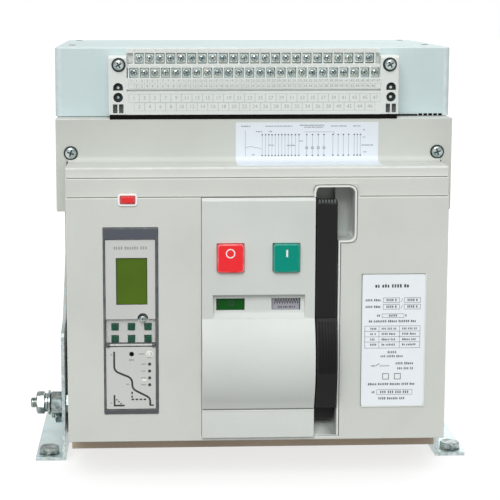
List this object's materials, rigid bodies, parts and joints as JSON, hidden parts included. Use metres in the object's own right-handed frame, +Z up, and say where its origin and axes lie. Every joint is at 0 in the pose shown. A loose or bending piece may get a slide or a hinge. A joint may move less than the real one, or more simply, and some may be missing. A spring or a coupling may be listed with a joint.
{
  "type": "air circuit breaker",
  "caption": "Fixed three-pole air circuit breaker with a front panel, trip unit, charging handle, secondary terminal block and rear busbar terminals.",
  "frame": {"origin": "bottom centre of the breaker's overall box, on the underside of its feet", "axes": "+X to the right of a person facing the front panel, +Y from the front panel to the rear terminals, +Z up"},
  "size_m": [0.427, 0.3376, 0.402],
  "materials": {
    "grey_moulding": "fine-textured light grey moulding",
    "hood_moulding": "smooth pale blue-grey moulding",
    "terminal_moulding": "smooth off-white moulding",
    "base_moulding": "brown fibre-filled moulding",
    "zinc_sheet": "bright zinc-plated sheet",
    "zinc_fastener": "zinc-plated fasteners",
    "machined_steel": "machined steel with an oil film",
    "copper_bar": "bare copper bar, slightly tarnished",
    "black_moulding": "black fine-textured moulding",
    "well_moulding": "grey moulding in the handle slot",
    "bezel_moulding": "dark grey satin moulding",
    "trip_face": "light grey satin face plate",
    "lcd": "olive green reflective display",
    "green_key": "dark green keys",
    "clear_cover": "clear polycarbonate lid",
    "red_button": "satin red moulding",
    "green_button": "satin green moulding",
    "green_flag": "printed indicator flag",
    "grey_flag": "printed indicator flag",
    "label": "printed polyester label"
  },
  "bodies": {
    "frame": {"front_cover": "grey_moulding", "arc_cover": "grey_moulding", "mechanism_panel": "grey_moulding", "hood": "hood_moulding", "terminal_block": "terminal_moulding", "rating_plate": "label", "cover_screw_left": "zinc_fastener", "cover_screw_right": "zinc_fastener", "handle_well": "well_moulding", "trip_unit_housing": "bezel_moulding", "trip_unit_display_panel": "trip_face", "trip_unit_curve_panel": "trip_face", "lcd_screen": "lcd", "keypad_cover_screw": "zinc_fastener", "closing_spring": "machined_steel", "shunt_release": "black_moulding", "closing_coil": "black_moulding", "spring_motor": "machined_steel", "auxiliary_switch": "terminal_moulding", "base_housing": "base_moulding", "bottom_tray": "base_moulding", "side_plate_left": "zinc_sheet", "side_plate_right": "zinc_sheet", "foot_bolt_left": "zinc_fastener", "foot_bolt_right": "zinc_fastener", "ground_bolt": "zinc_fastener", "ground_nut_inner": "zinc_fastener", "ground_nut_outer": "zinc_fastener", "upper_terminal_1": "copper_bar", "lower_terminal_1": "copper_bar", "arc_chute_1": "machined_steel", "upper_terminal_2": "copper_bar", "lower_terminal_2": "copper_bar", "arc_chute_2": "machined_steel", "upper_terminal_3": "copper_bar", "lower_terminal_3": "copper_bar", "arc_chute_3": "machined_steel"},
    "off_button": {"off_button": "red_button"},
    "on_button": {"on_button": "green_button"},
    "fault_reset_button": {"fault_reset_button": "red_button"},
    "contact_indicator": {"contact_indicator": "green_flag"},
    "charge_indicator": {"charge_indicator": "grey_flag"},
    "charging_handle": {"charging_handle": "black_moulding"},
    "keypad_cover": {"keypad_cover": "clear_cover"},
    "trip_reset_button": {"trip_reset_button": "terminal_moulding"},
    "main_shaft": {"main_shaft": "machined_steel"},
    "charging_shaft": {"charging_shaft": "machined_steel"},
    "spring_plunger": {"spring_plunger": "machined_steel"},
    "trip_key_1": {"trip_key_1": "green_key"},
    "trip_key_2": {"trip_key_2": "green_key"},
    "trip_key_3": {"trip_key_3": "green_key"},
    "trip_key_4": {"trip_key_4": "green_key"},
    "trip_key_5": {"trip_key_5": "green_key"},
    "trip_key_6": {"trip_key_6": "green_key"},
    "moving_contact_1": {"moving_contact_1": "copper_bar"},
    "moving_contact_2": {"moving_contact_2": "copper_bar"},
    "moving_contact_3": {"moving_contact_3": "copper_bar"},
    "drive_link_1": {"drive_link_1": "black_moulding"},
    "drive_link_2": {"drive_link_2": "black_moulding"},
    "drive_link_3": {"drive_link_3": "black_moulding"}
  },
  "joints": [
    {"name": "off_button_press", "type": "slide", "parent": "frame", "child": "off_button", "axis": [0, 1, 0], "range_m": [0, 0.004], "stiffness_N_per_m": 600, "springref_m": -0.002},
    {"name": "on_button_press", "type": "slide", "parent": "frame", "child": "on_button", "axis": [0, 1, 0], "range_m": [0, 0.004], "stiffness_N_per_m": 600, "springref_m": -0.002},
    {"name": "fault_reset_press", "type": "slide", "parent": "frame", "child": "fault_reset_button", "axis": [0, 1, 0], "range_m": [0, 0.003], "stiffness_N_per_m": 400, "springref_m": -0.001},
    {"name": "trip_reset_press", "type": "slide", "parent": "frame", "child": "trip_reset_button", "axis": [0, 1, 0], "range_m": [0, 0.001], "stiffness_N_per_m": 300, "springref_m": -0.001},
    {"name": "trip_key_1_press", "type": "slide", "parent": "frame", "child": "trip_key_1", "axis": [0, 1, 0], "range_m": [0, 0.0012], "stiffness_N_per_m": 300, "springref_m": -0.001},
    {"name": "trip_key_2_press", "type": "slide", "parent": "frame", "child": "trip_key_2", "axis": [0, 1, 0], "range_m": [0, 0.0012], "stiffness_N_per_m": 300, "springref_m": -0.001},
    {"name": "trip_key_3_press", "type": "slide", "parent": "frame", "child": "trip_key_3", "axis": [0, 1, 0], "range_m": [0, 0.0012], "stiffness_N_per_m": 300, "springref_m": -0.001},
    {"name": "trip_key_4_press", "type": "slide", "parent": "frame", "child": "trip_key_4", "axis": [0, 1, 0], "range_m": [0, 0.0012], "stiffness_N_per_m": 300, "springref_m": -0.001},
    {"name": "trip_key_5_press", "type": "slide", "parent": "frame", "child": "trip_key_5", "axis": [0, 1, 0], "range_m": [0, 0.0012], "stiffness_N_per_m": 300, "springref_m": -0.001},
    {"name": "trip_key_6_press", "type": "slide", "parent": "frame", "child": "trip_key_6", "axis": [0, 1, 0], "range_m": [0, 0.0012], "stiffness_N_per_m": 300, "springref_m": -0.001},
    {"name": "keypad_cover_swing", "type": "hinge", "parent": "frame", "child": "keypad_cover", "pos_m": [-0.1139, -0.15395, 0.1328], "axis": [1, 0, 0], "range_deg": [0, 120]},
    {"name": "charging_handle_pull", "type": "hinge", "parent": "frame", "child": "charging_handle", "pos_m": [0.0655, -0.13225, 0.082], "axis": [1, 0, 0], "range_deg": [0, 80], "stiffness_Nm_per_rad": 0.6, "springref_deg": -20.05},
    {"name": "main_shaft_turn", "type": "hinge", "parent": "frame", "child": "main_shaft", "pos_m": [0.0025, -0.02511, 0.11875], "axis": [-1, 0, 0], "range_deg": [0, 24]},
    {"name": "charging_shaft_turn", "type": "hinge", "parent": "frame", "child": "charging_shaft", "pos_m": [0.0025, -0.08825, 0.115], "axis": [1, 0, 0], "range_deg": [0, 150]},
    {"name": "contact_indicator_slide", "type": "slide", "parent": "frame", "child": "contact_indicator", "axis": [0, 0, 1], "range_m": [0, 0.0131]},
    {"name": "charge_indicator_slide", "type": "slide", "parent": "frame", "child": "charge_indicator", "axis": [0, 0, 1], "range_m": [0, 0.0131]},
    {"name": "spring_plunger_slide", "type": "slide", "parent": "frame", "child": "spring_plunger", "axis": [0, 0, -1], "range_m": [0, 0.0201], "deforming": ["closing_spring"]},
    {"name": "moving_contact_1_swing", "type": "hinge", "parent": "frame", "child": "moving_contact_1", "pos_m": [-0.1125, 0.06775, 0.131], "axis": [-1, 0, 0], "range_deg": [0, 12]},
    {"name": "drive_link_1_swing", "type": "hinge", "parent": "main_shaft", "child": "drive_link_1", "pos_m": [-0.1125, -0.04022, 0.13985], "axis": [1, 0, 0], "range_deg": [0, 24.1]},
    {"name": "moving_contact_2_swing", "type": "hinge", "parent": "frame", "child": "moving_contact_2", "pos_m": [0.0025, 0.06775, 0.131], "axis": [-1, 0, 0], "range_deg": [0, 12]},
    {"name": "drive_link_2_swing", "type": "hinge", "parent": "main_shaft", "child": "drive_link_2", "pos_m": [0.0025, -0.04022, 0.13985], "axis": [1, 0, 0], "range_deg": [0, 24.1]},
    {"name": "moving_contact_3_swing", "type": "hinge", "parent": "frame", "child": "moving_contact_3", "pos_m": [0.1175, 0.06775, 0.131], "axis": [-1, 0, 0], "range_deg": [0, 12]},
    {"name": "drive_link_3_swing", "type": "hinge", "parent": "main_shaft", "child": "drive_link_3", "pos_m": [0.1175, -0.04022, 0.13985], "axis": [1, 0, 0], "range_deg": [0, 24.1]}
  ],
  "couplings": [
    {"joint": "contact_indicator_slide", "follows": "main_shaft_turn", "m_per_rad": 0.031035},
    {"joint": "charge_indicator_slide", "follows": "charging_shaft_turn", "m_per_rad": 0.004966},
    {"joint": "spring_plunger_slide", "follows": "charging_shaft_turn", "m_per_rad": 0.007639},
    {"joint": "moving_contact_1_swing", "follows": "main_shaft_turn", "ratio": 0.5},
    {"joint": "drive_link_1_swing", "follows": "main_shaft_turn", "ratio": 1},
    {"joint": "moving_contact_2_swing", "follows": "main_shaft_turn", "ratio": 0.5},
    {"joint": "drive_link_2_swing", "follows": "main_shaft_turn", "ratio": 1},
    {"joint": "moving_contact_3_swing", "follows": "main_shaft_turn", "ratio": 0.5},
    {"joint": "drive_link_3_swing", "follows": "main_shaft_turn", "ratio": 1}
  ]
}
